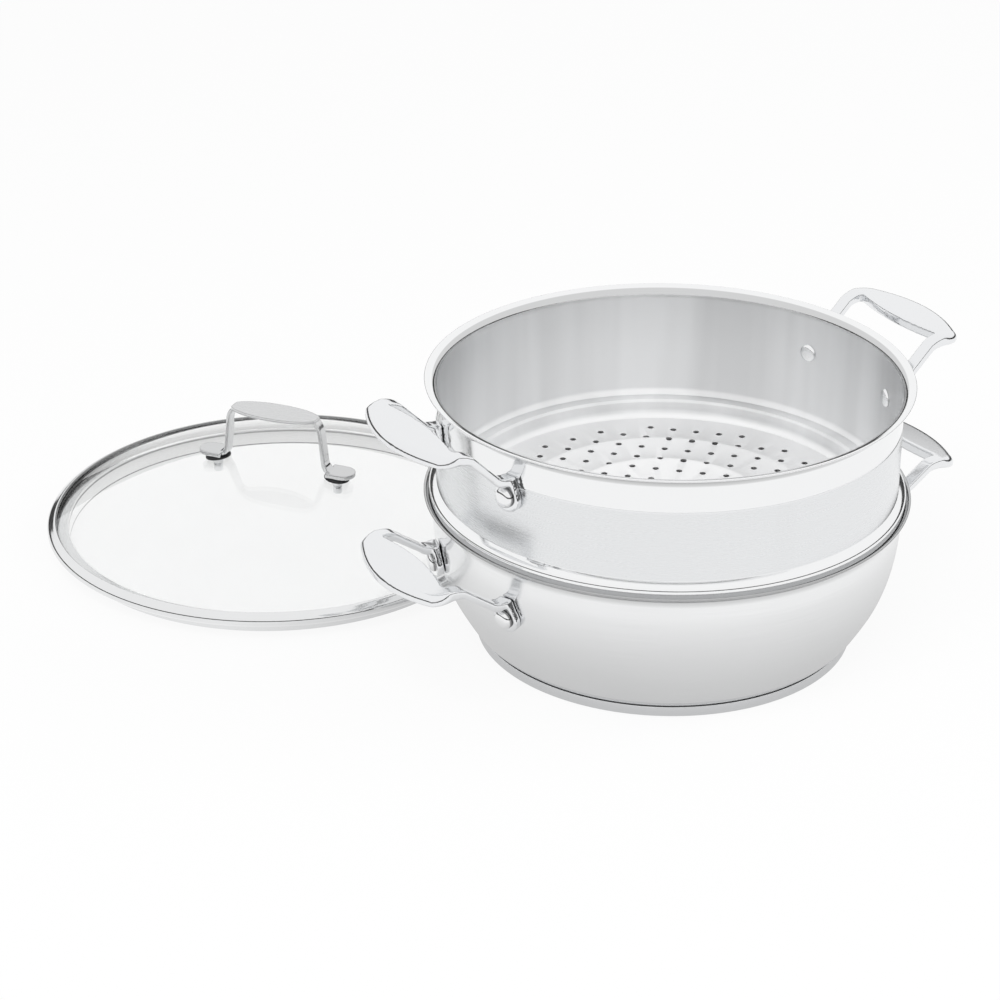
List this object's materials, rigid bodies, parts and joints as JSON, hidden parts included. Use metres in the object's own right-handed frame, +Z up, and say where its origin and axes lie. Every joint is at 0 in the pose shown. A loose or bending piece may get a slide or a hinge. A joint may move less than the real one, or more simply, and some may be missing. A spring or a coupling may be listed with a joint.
{
  "type": "multi-purpose pan",
  "caption": "Rounded steel pan with a disc base and loop handles, a perforated steamer insert on its rim, and a domed glass lid with a strap handle lying beside it.",
  "frame": {"origin": "centre of the underside of the pan's disc base", "axes": "+Z up along the pan's axis, +X towards the right-hand loop handles, +Y away from the viewer; the lid lies to -X and +Y"},
  "size_m": [0.4788, 0.5084, 0.165],
  "materials": {
    "polished_steel": "mirror polished stainless steel",
    "brushed_steel": "fine brushed stainless steel",
    "aluminium": "bare disc inside the base",
    "glass": "clear tempered glass",
    "rubber": "black silicone"
  },
  "bodies": {
    "pan": {"pan_base_cap": "polished_steel", "pan_handle_right": "polished_steel", "pan_handle_left": "polished_steel", "pan_rivet_right_a": "polished_steel", "pan_rivet_right_b": "polished_steel", "pan_rivet_left_a": "polished_steel", "pan_rivet_left_b": "polished_steel", "pan_body": "brushed_steel", "pan_base_core": "aluminium"},
    "steamer": {"steamer_handle_right": "polished_steel", "steamer_handle_left": "polished_steel", "steamer_rivet_right_a": "polished_steel", "steamer_rivet_right_b": "polished_steel", "steamer_rivet_left_a": "polished_steel", "steamer_rivet_left_b": "polished_steel", "steamer_body": "brushed_steel"},
    "lid": {"lid_rim_band": "polished_steel", "lid_handle": "polished_steel", "lid_nut_a": "polished_steel", "lid_nut_b": "polished_steel", "lid_washer_a": "polished_steel", "lid_washer_b": "polished_steel", "lid_glass": "glass", "lid_gasket_a": "rubber", "lid_gasket_b": "rubber"}
  },
  "joints": [
    {"name": "steamer_lift", "type": "slide", "parent": "pan", "child": "steamer", "axis": [0, 0, 1], "range_m": [0, 0.15]},
    {"name": "lid_lift", "type": "slide", "parent": "pan", "child": "lid", "axis": [-0.3838, 0.5939, 0.7071], "range_m": [0, 0.2]}
  ]
}
